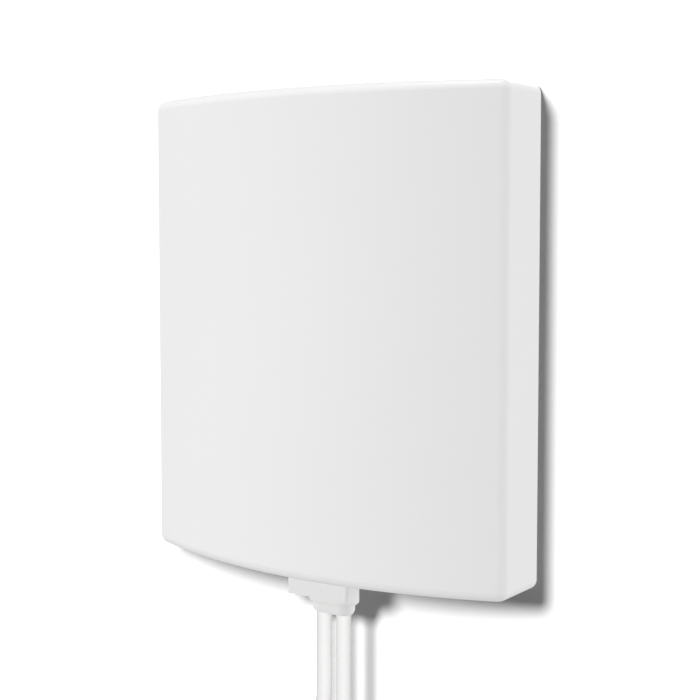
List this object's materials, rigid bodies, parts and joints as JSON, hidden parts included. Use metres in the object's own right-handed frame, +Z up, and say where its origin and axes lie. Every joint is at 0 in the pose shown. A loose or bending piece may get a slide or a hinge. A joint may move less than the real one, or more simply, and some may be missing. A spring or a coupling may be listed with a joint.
{
  "type": "panel antenna",
  "caption": "Flat white panel antenna with a crowned front cover, a bottom cable outlet, and coax leads that end in threaded coupling plugs.",
  "frame": {"origin": "centre of the rear face, in the plane of the wall that the panel is fixed to", "axes": "+Z up, +X to the right as seen from the front, +Y into the wall; the front faces -Y"},
  "size_m": [0.17, 0.043, 0.4492],
  "materials": {
    "white_plastic": "satin, fine moulded texture",
    "rear_plastic": "satin, moulded",
    "grommet_plastic": "soft satin",
    "seal_rubber": "matt",
    "screw_steel": "plain stainless",
    "insert_brass": "turned brass",
    "sheet_aluminium": "mill finish",
    "nylon": "natural nylon",
    "board_laminate": "solder-mask green",
    "track_copper": "tinned copper track",
    "cable_jacket": "smooth extruded jacket",
    "cable_core": "braid and dielectric",
    "heat_shrink": "dull heat-shrink",
    "plug_metal": "gold-plated turned brass",
    "pin_gold": "gold plate",
    "ptfe": "waxy",
    "tie_fabric": "hook-and-loop tape"
  },
  "bodies": {
    "panel": {"front_cover": "white_plastic", "rear_cover": "rear_plastic", "cover_seal": "seal_rubber", "cover_screws": "screw_steel", "bracket_inserts": "insert_brass", "cable_grommet": "grommet_plastic", "cable_clamp": "rear_plastic", "clamp_screws": "screw_steel", "reflector_plate": "sheet_aluminium", "reflector_screws": "screw_steel", "board_standoffs": "nylon", "feed_board": "board_laminate", "feed_lines": "track_copper", "board_screws": "screw_steel", "rear_spacers": "nylon", "driven_patch": "sheet_aluminium", "front_spacers": "nylon", "parasitic_patch": "sheet_aluminium", "patch_screws": "nylon", "patch_nuts": "nylon", "feed_pins": "insert_brass", "shield_clamp": "insert_brass", "shield_screws": "screw_steel", "inlet_left": "cable_jacket", "inlet_right": "cable_jacket", "core_left": "cable_core", "core_right": "cable_core", "lead_left": "cable_jacket", "lead_right": "cable_jacket", "coil_left": "cable_jacket", "coil_right": "cable_jacket", "tail_left": "cable_jacket", "tail_right": "cable_jacket", "coil_tie_top": "tie_fabric", "coil_tie_bottom": "tie_fabric", "boot_left": "heat_shrink", "boot_right": "heat_shrink", "plug_body_left": "plug_metal", "plug_body_right": "plug_metal", "plug_insulator_left": "ptfe", "plug_insulator_right": "ptfe", "plug_pin_left": "pin_gold", "plug_pin_right": "pin_gold", "nut_ring_left": "screw_steel", "nut_ring_right": "screw_steel"},
    "nut_left": {"coupling_nut_left": "plug_metal"},
    "nut_right": {"coupling_nut_right": "plug_metal"}
  },
  "joints": [
    {"name": "nut_spin_left", "type": "hinge", "parent": "panel", "child": "nut_left", "pos_m": [-0.05135, -0.0232, -0.3467], "axis": [0, 0, 1], "continuous": true},
    {"name": "nut_spin_right", "type": "hinge", "parent": "panel", "child": "nut_right", "pos_m": [0.05135, -0.0061, -0.3467], "axis": [0, 0, 1], "continuous": true}
  ]
}
